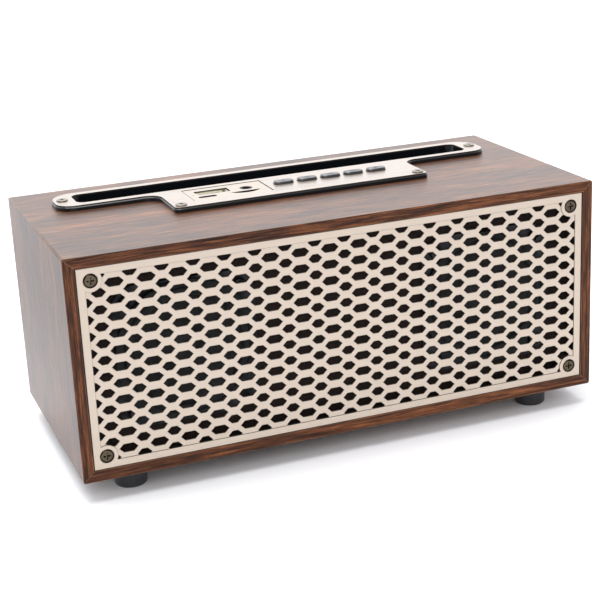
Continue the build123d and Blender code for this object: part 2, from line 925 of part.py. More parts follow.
with BuildPart() as board_screws:
    with Locations(*[underside(x, y, board_bottom_z) for x, y in board_posts]):
        add(board_screw)
board_screws.part.label = "board_screws"
export_step(board_screws.part, "parts/board_screws.step")

with BuildPart() as board_components:
    # radio module, amplifier chip and three lead connectors under the board
    with BuildSketch(level(board_bottom_z)):
        with Locations(radio_centre):
            Rectangle(*radio_size)
        with Locations(amplifier_centre):
            Rectangle(*amplifier_size)
    extrude(amount=-chip_height)
    with BuildSketch(level(board_bottom_z)):
        with Locations(*speaker_connectors, battery_connector):
            Rectangle(*connector_size)
    extrude(amount=-connector_height)
    # two supply capacitors
    with BuildSketch(level(board_bottom_z)):
        with Locations(*capacitor_points):
            Circle(capacitor_radius)
    extrude(amount=-capacitor_height)
board_components.part.label = "board_components"
export_step(board_components.part, "parts/board_components.step")


# ---------------------------------------------------------------- battery


def cell_plane(x):
    """Plane across the cell's axis, facing +X."""
    return Plane(origin=(x, cell_y, cell_z), x_dir=(0, 1, 0), z_dir=(1, 0, 0))


with BuildPart() as battery_cell:
    with BuildSketch(cell_plane(-cell_length / 2)):
        Circle(cell_radius)
    extrude(amount=cell_length - cell_crimp)
    fillet(battery_cell.edges().filter_by(GeomType.CIRCLE), cell_edge_round)
    with BuildSketch(cell_plane(cell_length / 2 - cell_crimp)):
        Circle(cell_terminal_radius)
    extrude(amount=cell_crimp)
battery_cell.part.label = "battery_cell"
export_step(battery_cell.part, "parts/battery_cell.step")

with BuildPart() as battery_cradle:
    cradle_length = cell_length + 2 * (cradle_wall + cell_gap)
    cradle_width = 2 * (cell_radius + cradle_wall + cell_gap)
    cradle_height = cell_z + cradle_rise - floor_z
    with BuildSketch(Plane(origin=(0, cell_y, floor_z))):
        Rectangle(cradle_length, cradle_width)
    extrude(amount=cradle_height)
    with BuildSketch(Plane(origin=(0, cell_y, floor_z + cradle_height))):
        Rectangle(cradle_length - 2 * cradle_wall, cradle_width - 2 * cradle_wall)
    extrude(amount=cradle_base - cradle_height, mode=Mode.SUBTRACT)
battery_cradle.part.label = "battery_cradle"
export_step(battery_cradle.part, "parts/battery_cradle.step")

# from the end of the cell, round the port tube and up to the board
battery_route = [
    (cell_length / 2 - battery_lead_inset, cell_y, cell_z + cell_radius + battery_lead_lift),
    battery_lead_bend,
    (*battery_connector, lead_end_z),
]
battery_lead_part = swept_lead(battery_route, (-1, -0.2, 0.1), (0, 0, 1), battery_lead_radius)

with BuildPart() as battery_lead:
    add(battery_lead_part)
battery_lead.part.label = "battery_lead"
export_step(battery_lead.part, "parts/battery_lead.step")


# ---------------------------------------------------------------- drivers
# Driver pieces are drawn about the local Z axis, whose zero is the front face of the baffle and whose
# positive side is the rear.

left_driver = rear_plane(baffle_front_y, -driver_x)
right_driver = rear_plane(baffle_front_y, driver_x)
cone_slope = (cone_neck_depth - cone_rim_depth) / (cone_rim_radius - former_outer_radius)


def ring(inner, outer, start, length):
    """A plain ring about the local axis."""
    with BuildPart() as body:
        with BuildSketch(level(start)):
            Circle(outer)
            Circle(inner, mode=Mode.SUBTRACT)
        extrude(amount=length)
    return body.part


with BuildPart() as basket_template:
    # square frame with rounded corners
    with BuildSketch(level(flange_depth)):
        RectangleRounded(driver_frame_size, driver_frame_size, driver_frame_round)
        Circle(basket_radius, mode=Mode.SUBTRACT)
        with GridLocations(2 * driver_screw_offset, 2 * driver_screw_offset, 2, 2):
            Circle(driver_shank_radius + screw_clearance, mode=Mode.SUBTRACT)
    extrude(amount=-flange_depth)
    # pressed cup: wide mouth, shelf for the spider, floor for the magnet
    with BuildSketch(Plane.XZ):
        with BuildLine():
            Polyline(
                (basket_radius, flange_depth),
                (basket_radius + basket_thickness, flange_depth),
                (basket_radius + basket_thickness, basket_outer_mouth_depth),
                (shelf_outer_radius, shelf_depth + basket_thickness),
                (shelf_inner_radius + basket_thickness, shelf_depth + basket_thickness),
                (shelf_inner_radius + basket_thickness, basket_floor_depth),
                (coil_hole_radius, basket_floor_depth),
                (coil_hole_radius, basket_floor_depth - basket_thickness),
                (shelf_inner_radius, basket_floor_depth - basket_thickness),
                (shelf_inner_radius, shelf_depth),
                (shelf_outer_radius - shelf_corner, shelf_depth),
                (basket_radius, basket_mouth_depth),
                close=True,
            )
        make_face()
    revolve(axis=Axis.Z)
    # four windows through the slanting wall
    with BuildSketch(level(window_start_depth)):
        with PolarLocations(basket_radius - window_inset, 4):
            Rectangle(*window_size)
    extrude(amount=window_height, mode=Mode.SUBTRACT)

with BuildPart() as driver_baskets:
    with Locations(left_driver, right_driver):
        add(basket_template.part)
driver_baskets.part.label = "driver_baskets"
export_step(driver_baskets.part, "parts/driver_baskets.step")

with BuildPart() as surround_template:
    roll_middle = (surround_roll_start + basket_radius) / 2
    lip_back = flange_depth
    lip_front = flange_depth - surround_thickness
    inner_lip = cone_rim_radius + surround_inner_gap
    roll_outer = surround_roll_radius + surround_thickness / 2
    roll_inner = surround_roll_radius - surround_thickness / 2
    with BuildSketch(Plane.XZ):
        with BuildLine():
            Polyline(
                (inner_lip, lip_front),
                (inner_lip, lip_back),
                (roll_middle - roll_inner, lip_back),
            )
            ThreePointArc(
                (roll_middle - roll_inner, lip_back),
                (roll_middle, lip_back - roll_inner),
                (roll_middle + roll_inner, lip_back),
            )
            Polyline(
                (roll_middle + roll_inner, lip_back),
                (surround_outer_radius, lip_back),
                (surround_outer_radius, lip_front),
                (roll_middle + roll_outer, lip_front),
            )
            ThreePointArc(
                (roll_middle + roll_outer, lip_front),
                (roll_middle, lip_front - roll_outer),
                (roll_middle - roll_outer, lip_front),
            )
            Line((roll_middle - roll_outer, lip_front), (inner_lip, lip_front))
        make_face()
    revolve(axis=Axis.Z)

with BuildPart() as driver_surrounds:
    with Locations(left_driver, right_driver):
        add(surround_template.part)
driver_surrounds.part.label = "driver_surrounds"
export_step(driver_surrounds.part, "parts/driver_surrounds.step")

gasket_depth = flange_depth - surround_thickness - gasket_thickness
gasket_ring = ring(gasket_inner_radius, gasket_outer_radius, gasket_depth, gasket_thickness)

with BuildPart() as driver_gaskets:
    with Locations(left_driver, right_driver):
        add(gasket_ring)
driver_gaskets.part.label = "driver_gaskets"
export_step(driver_gaskets.part, "parts/driver_gaskets.step")

with BuildPart() as spider_template:
    # corrugated disc: alternate crests and troughs between the shelf and the voice coil
    trough = spider_crest * 0.4
    heights = [0, -spider_crest, trough, -spider_crest, trough, -spider_crest, 0, 0, 0]
    lower = [(r, shelf_depth - spider_thickness - h) for r, h in zip(spider_radii, heights)]
    upper = [(r, shelf_depth - h) for r, h in zip(spider_radii, heights)]
    with BuildSketch(Plane.XZ):
        with BuildLine():
            Polyline(*lower, *upper[::-1], close=True)
        make_face()
    revolve(axis=Axis.Z)

with BuildPart() as driver_spiders:
    with Locations(left_driver, right_driver):
        add(spider_template.part)
driver_spiders.part.label = "driver_spiders"
export_step(driver_spiders.part, "parts/driver_spiders.step")

front_plate_ring = ring(
    gap_outer_radius, front_plate_radius, basket_floor_depth, front_plate_thickness
)

with BuildPart() as driver_front_plates:
    with Locations(left_driver, right_driver):
        add(front_plate_ring)
driver_front_plates.part.label = "driver_front_plates"
export_step(driver_front_plates.part, "parts/driver_front_plates.step")

magnet_depth = basket_floor_depth + front_plate_thickness
magnet_ring = ring(magnet_bore_radius, magnet_radius, magnet_depth, magnet_thickness)

with BuildPart() as driver_magnets:
    with Locations(left_driver, right_driver):
        add(magnet_ring)
driver_magnets.part.label = "driver_magnets"
export_step(driver_magnets.part, "parts/driver_magnets.step")

with BuildPart() as yoke_template:
    yoke_depth = magnet_depth + magnet_thickness
    with BuildSketch(level(yoke_depth)):
        Circle(yoke_radius)
    extrude(amount=yoke_thickness)
    with BuildSketch(level(basket_floor_depth + pole_drop)):
        Circle(pole_radius)
    extrude(amount=yoke_depth - basket_floor_depth - pole_drop)

with BuildPart() as driver_yokes:
    with Locations(left_driver, right_driver):
        add(yoke_template.part)
driver_yokes.part.label = "driver_yokes"
export_step(driver_yokes.part, "parts/driver_yokes.step")

with BuildPart() as terminal_template:
    # lug strip standing on the back of the basket floor, just outside the front plate
    with BuildSketch(level(basket_floor_depth)):
        with Locations((0, -terminal_offset)):
            Rectangle(*terminal_size)
        Circle(front_plate_radius + assembly_gap, mode=Mode.SUBTRACT)
    extrude(amount=terminal_thickness)

with BuildPart() as driver_terminals:
    with Locations(left_driver, right_driver):
        add(terminal_template.part)
driver_terminals.part.label = "driver_terminals"
export_step(driver_terminals.part, "parts/driver_terminals.step")

driver_screw = cross_screw(
    driver_head_radius, driver_head_height, driver_shank_radius, driver_screw_length
)
driver_screw_points = [
    (side * driver_x + x, middle_z + z)
    for side in (-1, 1)
    for x, z in mirrored_points(driver_screw_offset, driver_screw_offset)
]

with BuildPart() as driver_screws:
    driver_face_y = baffle_front_y + flange_depth
    with Locations(*[front_plane(driver_face_y, x, z) for x, z in driver_screw_points]):
        add(driver_screw)
driver_screws.part.label = "driver_screws"
export_step(driver_screws.part, "parts/driver_screws.step")


# from each lug strip, up behind the magnet to the connector on the same side
def speaker_lead(side, connector):
    """The lead of one driver, on the left for side -1 and on the right for side 1."""
    behind, above = speaker_lead_start
    bend_x, bend_y, bend_z = speaker_lead_bend
    route = [
        (side * driver_x, baffle_front_y + basket_floor_depth + behind, middle_z + above),
        (side * bend_x, bend_y, bend_z),
        (*connector, lead_end_z),
    ]
    return swept_lead(route, (0, 1, 0.2), (0, 0, 1), speaker_lead_radius)


with BuildPart() as speaker_leads:
    add([speaker_lead(side, point) for side, point in zip((-1, 1), speaker_connectors)])
speaker_leads.part.label = "speaker_leads"
export_step(speaker_leads.part, "parts/speaker_leads.step")

with BuildPart() as cone_template:
    neck_radius = former_outer_radius + cone_joint_gap
    with BuildSketch(Plane.XZ):
        with BuildLine():
            Polyline(
                (cone_rim_radius, cone_rim_depth),
                (cone_rim_radius, cone_rim_depth + cone_thickness),
                (neck_radius, cone_neck_depth + cone_thickness),
                (neck_radius, cone_neck_depth),
                close=True,
            )
        make_face()
    revolve(axis=Axis.Z)

with BuildPart() as cap_template:
    # a thin slice of a hollow sphere, its rim resting on the cone
    cap_base = cone_rim_depth + (cone_rim_radius - cap_radius) * cone_slope - cone_joint_gap
    cap_sphere = (cap_radius**2 + cap_rise**2) / (2 * cap_rise)
    with BuildSketch(Plane.XZ):
        with Locations((0, cap_base - cap_rise + cap_sphere)):
            Circle(cap_sphere)
            Circle(cap_sphere - cap_thickness, mode=Mode.SUBTRACT)
        with Locations((0, cap_base - cap_rise)):
            Rectangle(cap_radius, cap_rise, align=(Align.MIN, Align.MIN), mode=Mode.INTERSECT)
    revolve(axis=Axis.Z)

with BuildPart() as coil_template:
    # paper former with the winding over the magnet gap
    coil_start = basket_floor_depth + front_plate_thickness / 2 - coil_length / 2
    former_length = coil_start + coil_length - cone_neck_depth
    add(ring(former_inner_radius, former_outer_radius, cone_neck_depth, former_length))
    add(ring(former_inner_radius, coil_outer_radius, coil_start, coil_length))

moving_templates = {"cone": cone_template, "dust_cap": cap_template, "voice_coil": coil_template}

for side, place in (("left", left_driver), ("right", right_driver)):
    for piece, template in moving_templates.items():
        with BuildPart() as moving_piece:
            with Locations(place):
                add(template.part)
        moving_piece.part.label = f"{side}_{piece}"
        export_step(moving_piece.part, f"parts/{side}_{piece}.step")
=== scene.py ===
"""Looks of the retro tabletop speaker: materials, small surface pieces, studio and camera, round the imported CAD."""

import math

import bmesh
import bpy
from mathutils import Matrix, Vector


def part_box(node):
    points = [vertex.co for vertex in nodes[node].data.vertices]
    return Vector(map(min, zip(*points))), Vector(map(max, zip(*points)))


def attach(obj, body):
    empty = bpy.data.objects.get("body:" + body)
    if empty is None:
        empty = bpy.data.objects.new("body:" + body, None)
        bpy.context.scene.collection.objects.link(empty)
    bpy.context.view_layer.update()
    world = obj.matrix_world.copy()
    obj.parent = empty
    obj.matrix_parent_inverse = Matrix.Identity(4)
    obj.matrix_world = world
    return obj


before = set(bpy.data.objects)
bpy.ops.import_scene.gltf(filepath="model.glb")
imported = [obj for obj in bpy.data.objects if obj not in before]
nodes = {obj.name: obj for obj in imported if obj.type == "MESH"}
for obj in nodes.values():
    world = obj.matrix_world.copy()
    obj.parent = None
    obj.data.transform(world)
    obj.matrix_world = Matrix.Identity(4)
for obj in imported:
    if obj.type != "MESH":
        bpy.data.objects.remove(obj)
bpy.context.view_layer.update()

MM = 0.001
UP = Vector((0, 0, 1))


# ---------------------------------------------------------------- node helpers


def new_material(name):
    """An empty node material with a Principled shader: returns the material, its tree and the shader."""
    material = bpy.data.materials.new(name)
    material.use_nodes = True
    tree = material.node_tree
    tree.nodes.clear()
    output = tree.nodes.new("ShaderNodeOutputMaterial")
    shader = tree.nodes.new("ShaderNodeBsdfPrincipled")
    tree.links.new(shader.outputs["BSDF"], output.inputs["Surface"])
    return material, tree, shader


def put(tree, target, value):
    """Sets an input socket to a value, or links it to an output socket."""
    if isinstance(value, bpy.types.NodeSocket):
        tree.links.new(value, target)
    else:
        target.default_value = value


def add(tree, kind, inputs=(), **settings):
    """Adds a node, sets its properties, then its inputs, given as (name or index, value) pairs."""
    made = tree.nodes.new(kind)
    for key, value in settings.items():
        setattr(made, key, value)
    for key, value in inputs:
        put(tree, made.inputs[key], value)
    return made


def math_node(tree, operation, first, second=0.0):
    """The result of a two-input maths node."""
    return add(tree, "ShaderNodeMath", [(0, first), (1, second)], operation=operation).outputs[0]


def stretched(tree, scale):
    """Object coordinates in metres, scaled separately along X, Y and Z."""
    coordinates = add(tree, "ShaderNodeTexCoord").outputs["Object"]
    return add(tree, "ShaderNodeMapping", [("Vector", coordinates), ("Scale", scale)]).outputs[0]


def noise(tree, vector, scale=1.0, detail=4.0, roughness=0.55, distortion=0.0):
    """A noise value between 0 and 1."""
    inputs = [
        ("Vector", vector),
        ("Scale", scale),
        ("Detail", detail),
        ("Roughness", roughness),
        ("Distortion", distortion),
    ]
    return add(tree, "ShaderNodeTexNoise", inputs).outputs[0]


def ramp(tree, value, stops):
    """A colour ramp through (position, colour) stops; a colour may be a single grey number."""
    made = add(tree, "ShaderNodeValToRGB", [("Fac", value)])
    elements = made.color_ramp.elements
    while len(elements) < len(stops):
        elements.new(0.5)
    for element, (position, colour) in zip(elements, stops):
        element.position = position
        if isinstance(colour, (int, float)):
            colour = (colour, colour, colour)
        element.color = (*colour, 1.0)
    return made.outputs["Color"]


def spread(tree, value, low, high):
    """Maps a 0 to 1 value to the range low to high."""
    inputs = [("Value", value), ("To Min", low), ("To Max", high)]
    return add(tree, "ShaderNodeMapRange", inputs).outputs[0]


def mix(tree, factor, first, second, blend="MIX"):
    """Mixes two colours."""
    made = add(tree, "ShaderNodeMix", data_type="RGBA", blend_type=blend)
    put(tree, made.inputs["Factor"], factor)
    for name, value in (("A", first), ("B", second)):
        socket = [s for s in made.inputs if s.name == name and s.type == "RGBA"][0]
        put(tree, socket, (*value, 1.0) if isinstance(value, tuple) else value)
    return [s for s in made.outputs if s.type == "RGBA"][0]


def bump(tree, shader, height, depth, strength=1.0):
    """Raises the surface by height (0 to 1) times depth in metres."""
    inputs = [("Height", height), ("Distance", depth), ("Strength", strength)]
    put(tree, shader.inputs["Normal"], add(tree, "ShaderNodeBump", inputs).outputs[0])


def edge_mask(tree, radius):
    """1 along sharp edges, fading to 0 within the radius."""
    rounded = add(tree, "ShaderNodeBevel", [("Radius", radius)], samples=4).outputs[0]
    true_normal = add(tree, "ShaderNodeNewGeometry").outputs["Normal"]
    inputs = [(0, rounded), (1, true_normal)]
    facing = add(tree, "ShaderNodeVectorMath", inputs, operation="DOT_PRODUCT").outputs["Value"]
    away = math_node(tree, "SUBTRACT", 1.0, facing)
    return add(tree, "ShaderNodeMath", [(0, away), (1, 4.0)], operation="MULTIPLY", use_clamp=True).outputs[0]


def along(axis, length_scale, cross_scale):
    """A scale that stretches a texture along the named axis."""
    return tuple(length_scale if name == axis else cross_scale for name in "XYZ")


# ---------------------------------------------------------------- materials

WOOD_DARK = (0.012, 0.005, 0.003)
WOOD_BROWN = (0.060, 0.021, 0.009)
WOOD_RED = (0.135, 0.046, 0.016)
WOOD_ORANGE = (0.30, 0.115, 0.034)
EDGE_DARK = (0.030, 0.009, 0.004)
EDGE_BROWN = (0.095, 0.029, 0.010)
EDGE_ORANGE = (0.25, 0.085, 0.030)
CHAMPAGNE = (0.590, 0.500, 0.415)
CHAMPAGNE_LINE = (0.22, 0.165, 0.12)
CHAMPAGNE_SHINE = (0.85, 0.79, 0.72)
CUT_EDGE = (0.020, 0.017, 0.015)


def wood_wrap(name, axis):
    """Dark walnut print under a satin film, with the grain along one axis; the front edge is barer and redder."""
    material, tree, shader = new_material(name)
    normal = add(tree, "ShaderNodeNewGeometry").outputs["Normal"]
    facing = add(tree, "ShaderNodeSeparateXYZ", [(0, normal)]).outputs["Y"]
    inputs = [("Value", facing), ("From Min", -0.6), ("From Max", -0.95)]
    front = add(tree, "ShaderNodeMapRange", inputs).outputs[0]
    drift = noise(tree, stretched(tree, along(axis, 12, 60)), detail=3.0)
    figure = noise(tree, stretched(tree, along(axis, 40, 900)), detail=6.0, roughness=0.70, distortion=0.30)
    streaks = noise(tree, stretched(tree, along(axis, 80, 2300)), detail=4.0, roughness=0.7)
    shares = math_node(tree, "MULTIPLY", figure, 0.72)
    combined = math_node(tree, "ADD", shares, math_node(tree, "MULTIPLY", drift, 0.28))
    stops = [(0.38, WOOD_DARK), (0.47, WOOD_BROWN), (0.54, WOOD_RED), (0.64, WOOD_ORANGE)]
    edge_stops = [(0.40, EDGE_DARK), (0.50, EDGE_BROWN), (0.60, EDGE_ORANGE)]
    colour = mix(tree, front, ramp(tree, combined, stops), ramp(tree, combined, edge_stops))
    pores = ramp(tree, streaks, [(0.38, 0.15), (0.52, 1.0)])
    colour = mix(tree, 0.85, colour, pores, blend="MULTIPLY")
    worn = math_node(tree, "MULTIPLY", edge_mask(tree, 0.5 * MM), 0.35)
    colour = mix(tree, worn, colour, (0.42, 0.26, 0.15))
    put(tree, shader.inputs["Base Color"], colour)
    put(tree, shader.inputs["Roughness"], spread(tree, streaks, 0.46, 0.28))
    put(tree, shader.inputs["IOR"], 1.64)
    put(tree, shader.inputs["Specular IOR Level"], spread(tree, front, 0.55, 0.12))
    bump(tree, shader, math_node(tree, "ADD", streaks, figure), 0.06 * MM, 0.6)
    return material


def sawn_wood(name):
    """Pale sawn battens inside the cabinet, grain along Y."""
    material, tree, shader = new_material(name)
    rings = noise(tree, stretched(tree, along("Y", 12, 700)), detail=4.0, distortion=0.5)
    put(tree, shader.inputs["Base Color"], ramp(tree, rings, [(0.35, (0.36, 0.24, 0.13)), (0.65, (0.62, 0.46, 0.29))]))
    put(tree, shader.inputs["Roughness"], 0.8)
    bump(tree, shader, rings, 0.2 * MM)
    return material


def painted_board(name):
    """Black-brown painted fibreboard."""
    material, tree, shader = new_material(name)
    fibres = noise(tree, stretched(tree, (900, 900, 900)), detail=3.0)
    put(tree, shader.inputs["Base Color"], ramp(tree, fibres, [(0.3, (0.012, 0.005, 0.003)), (0.7, (0.026, 0.012, 0.007))]))
    put(tree, shader.inputs["Roughness"], 0.85)
    bump(tree, shader, fibres, 0.08 * MM)
    return material


def brushed_champagne(name, metallic, roughness, tint, edge, edge_radius, face_axis, turned):
    """Champagne finish with fine brushing along X, its own tone along sharp edges, and dark cut sides.

    The face axis is the one that the finished face looks along; the finish thins out where the surface
    turns away from it, between the two cosines in turned."""
    material, tree, shader = new_material(name)
    lines = noise(tree, stretched(tree, along("X", 22, 5200)), detail=3.0, roughness=0.7)
    cloud = noise(tree, stretched(tree, (28, 28, 28)), detail=2.0)
    darker = tuple(0.90 * channel for channel in tint)
    colour = mix(tree, spread(tree, lines, 0.1, 0.9), darker, tint)
    colour = mix(tree, spread(tree, cloud, 0.0, 0.25), colour, tuple(min(1.0, 1.06 * c) for c in tint))
    along_edges = math_node(tree, "MULTIPLY", edge_mask(tree, edge_radius * MM), 0.5)
    colour = mix(tree, along_edges, colour, edge)
    normal = add(tree, "ShaderNodeNewGeometry").outputs["True Normal"]
    facing = math_node(tree, "ABSOLUTE", add(tree, "ShaderNodeSeparateXYZ", [(0, normal)]).outputs[face_axis])
    inputs = [("Value", facing), ("From Min", turned[0]), ("From Max", turned[1]), ("To Max", 0.95)]
    sides = add(tree, "ShaderNodeMapRange", inputs).outputs[0]
    colour = mix(tree, sides, colour, CUT_EDGE)
    put(tree, shader.inputs["Base Color"], colour)
    put(tree, shader.inputs["Metallic"], metallic)
    put(tree, shader.inputs["Roughness"], spread(tree, lines, roughness - 0.06, roughness + 0.08))
    bump(tree, shader, lines, 0.012 * MM, 0.6)
    return material


def gloss_black(name):
    """Moulded gloss black plastic with a trace of haze."""
    material, tree, shader = new_material(name)
    haze = noise(tree, stretched(tree, (55, 55, 55)), detail=5.0)
    grit = noise(tree, stretched(tree, (2600, 2600, 2600)), detail=2.0)
    edge = math_node(tree, "MULTIPLY", edge_mask(tree, 0.3 * MM), 0.6)
    put(tree, shader.inputs["Base Color"], mix(tree, edge, (0.006, 0.007, 0.009), (0.045, 0.052, 0.062)))
    put(tree, shader.inputs["Roughness"], spread(tree, haze, 0.05, 0.16))
    put(tree, shader.inputs["IOR"], 1.52)
    bump(tree, shader, grit, 0.004 * MM, 0.4)
    return material


def textured_plastic(name, colour, roughness=0.55, grain=1800.0):
    """Spark-eroded moulded plastic."""
    material, tree, shader = new_material(name)
    pits = noise(tree, stretched(tree, (grain, grain, grain)), detail=3.0)
    lighter = tuple(min(1.0, 1.35 * channel + 0.004) for channel in colour)
    put(tree, shader.inputs["Base Color"], mix(tree, pits, colour, lighter))
    put(tree, shader.inputs["Roughness"], spread(tree, pits, roughness - 0.08, roughness + 0.12))
    bump(tree, shader, pits, 0.03 * MM, 0.6)
    return material


def plated_metal(name, colour, roughness, patina=(0.06, 0.05, 0.035)):
    """Plated steel: soft machining marks, darker where polish has not reached."""
    material, tree, shader = new_material(name)
    marks = noise(tree, stretched(tree, (1400, 1400, 1400)), detail=4.0)
    blotches = noise(tree, stretched(tree, (260, 260, 260)), detail=3.0)
    tarnish = ramp(tree, blotches, [(0.48, 0.0), (0.75, 0.55)])
    tone = mix(tree, tarnish, colour, patina)
    bright = math_node(tree, "MULTIPLY", edge_mask(tree, 0.2 * MM), 0.5)
    put(tree, shader.inputs["Base Color"], mix(tree, bright, tone, tuple(min(1.0, 2.2 * c) for c in colour)))
    put(tree, shader.inputs["Metallic"], 1.0)
    put(tree, shader.inputs["Roughness"], spread(tree, marks, roughness - 0.08, roughness + 0.12))
    bump(tree, shader, marks, 0.01 * MM, 0.5)
    return material


def rubber(name, colour=(0.012, 0.012, 0.014)):
    """Matt moulded rubber with a dusty bloom."""
    material, tree, shader = new_material(name)
    bloom = noise(tree, stretched(tree, (120, 120, 120)), detail=5.0)
    skin = noise(tree, stretched(tree, (3200, 3200, 3200)), detail=2.0)
    put(tree, shader.inputs["Base Color"], mix(tree, bloom, colour, tuple(2.2 * c for c in colour)))
    put(tree, shader.inputs["Roughness"], spread(tree, bloom, 0.55, 0.75))
    put(tree, shader.inputs["Sheen Weight"], 0.12)
    bump(tree, shader, skin, 0.02 * MM, 0.7)
    return material


def pressed_paper(name):
    """Black paper pulp of the loudspeaker cones."""
    material, tree, shader = new_material(name)
    pulp = noise(tree, stretched(tree, (700, 700, 700)), detail=6.0, roughness=0.7)
    put(tree, shader.inputs["Base Color"], ramp(tree, pulp, [(0.3, (0.012, 0.011, 0.011)), (0.7, (0.035, 0.032, 0.030))]))
    put(tree, shader.inputs["Roughness"], 0.68)
    bump(tree, shader, pulp, 0.12 * MM)
    return material


def woven_cloth(name, colour):
    """Resin-stiffened woven cloth of the spiders."""
    material, tree, shader = new_material(name)
    vector = stretched(tree, (1, 1, 1))
    weft = add(tree, "ShaderNodeTexWave", [("Vector", vector), ("Scale", 420.0)], bands_direction="X").outputs["Fac"]
    warp = add(tree, "ShaderNodeTexWave", [("Vector", vector), ("Scale", 420.0)], bands_direction="Z").outputs["Fac"]
    weave = math_node(tree, "MULTIPLY", weft, warp)
    put(tree, shader.inputs["Base Color"], mix(tree, weave, tuple(0.5 * c for c in colour), colour))
    put(tree, shader.inputs["Roughness"], 0.8)
    bump(tree, shader, weave, 0.1 * MM)
    return material


def circuit_board(name):
    """Green solder mask with pale printed traces."""
    material, tree, shader = new_material(name)
    vector = stretched(tree, (1, 1, 1))
    inputs = [("Vector", vector), ("Scale", 260.0), ("Randomness", 1.0)]
    cells = add(tree, "ShaderNodeTexVoronoi", inputs, distance="CHEBYCHEV").outputs["Distance"]
    traces = ramp(tree, cells, [(0.42, 0.0), (0.47, 1.0)])
    put(tree, shader.inputs["Base Color"], mix(tree, traces, (0.012, 0.085, 0.035), (0.03, 0.16, 0.07)))
    put(tree, shader.inputs["Roughness"], 0.32)
    bump(tree, shader, traces, 0.03 * MM)
    return material


def shrink_wrap(name, colour):
    """Heat-shrunk sleeve of the battery cell."""
    material, tree, shader = new_material(name)
    ripples = noise(tree, stretched(tree, along("X", 160, 900)), detail=3.0)
    put(tree, shader.inputs["Base Color"], mix(tree, ripples, tuple(0.8 * c for c in colour), colour))
    put(tree, shader.inputs["Roughness"], spread(tree, ripples, 0.18, 0.32))
    bump(tree, shader, ripples, 0.05 * MM)
    return material


def light_pipe(name):
    """Milky light pipe of the status light."""
    material, tree, shader = new_material(name)
    milk = noise(tree, stretched(tree, (900, 900, 900)), detail=2.0)
    put(tree, shader.inputs["Base Color"], mix(tree, milk, (0.10, 0.10, 0.11), (0.20, 0.21, 0.23)))
    put(tree, shader.inputs["Roughness"], 0.25)
    put(tree, shader.inputs["Coat Weight"], 0.6)
    bump(tree, shader, milk, 0.01 * MM)
    return material


wood_x = wood_wrap("walnut_grain_x", "X")
wood_z = wood_wrap("walnut_grain_z", "Z")
battens_wood = sawn_wood("sawn_wood")
board_black = painted_board("painted_board")
grille_paint = brushed_champagne("champagne_paint", 0.35, 0.42, CHAMPAGNE, CHAMPAGNE_LINE, 0.40, "Y", (0.99, 0.90))
insert_tint = (0.47, 0.405, 0.345)
insert_paint = brushed_champagne("champagne_insert", 0.45, 0.34, insert_tint, CHAMPAGNE_SHINE, 0.12, "Z", (0.6, 0.2))
plate_tint = (0.455, 0.395, 0.350)
plate_metal = brushed_champagne("champagne_metal", 0.60, 0.27, plate_tint, CHAMPAGNE_SHINE, 0.20, "Z", (0.6, 0.2))
housing_black = gloss_black("gloss_black_plastic")
plastic_black = textured_plastic("black_plastic", (0.010, 0.010, 0.011))
plastic_white = textured_plastic("white_plastic", (0.72, 0.71, 0.66), 0.45)
button_paint = plated_metal("button_gunmetal", (0.135, 0.135, 0.14), 0.28, (0.09, 0.09, 0.095))
screw_nickel = plated_metal("dark_nickel", (0.085, 0.068, 0.047), 0.16, (0.012, 0.010, 0.007))
screw_champagne = plated_metal("champagne_screw", (0.26, 0.23, 0.19), 0.22, (0.10, 0.085, 0.065))
steel_black = plated_metal("black_steel", (0.045, 0.045, 0.048), 0.42, (0.015, 0.015, 0.016))
nickel = plated_metal("bright_nickel", (0.66, 0.63, 0.52), 0.22, (0.34, 0.31, 0.20))
copper = plated_metal("copper_wire", (0.72, 0.32, 0.15), 0.32)
ferrite = textured_plastic("ferrite", (0.035, 0.035, 0.037), 0.6, 900.0)
foot_rubber = rubber("foot_rubber")
surround_rubber = rubber("surround_rubber", (0.008, 0.008, 0.009))
foam = textured_plastic("foam", (0.020, 0.020, 0.020), 0.85, 500.0)
cone_paper = pressed_paper("cone_paper")
spider_cloth = woven_cloth("spider_cloth", (0.50, 0.33, 0.11))
green_board = circuit_board("circuit_board")
cell_sleeve = shrink_wrap("cell_sleeve", (0.05, 0.16, 0.45))
lead_sleeve = textured_plastic("lead_sleeve", (0.36, 0.02, 0.02), 0.45)
pipe = light_pipe("light_pipe")
icon_ink = textured_plastic("icon_ink", (0.012, 0.012, 0.013), 0.5)

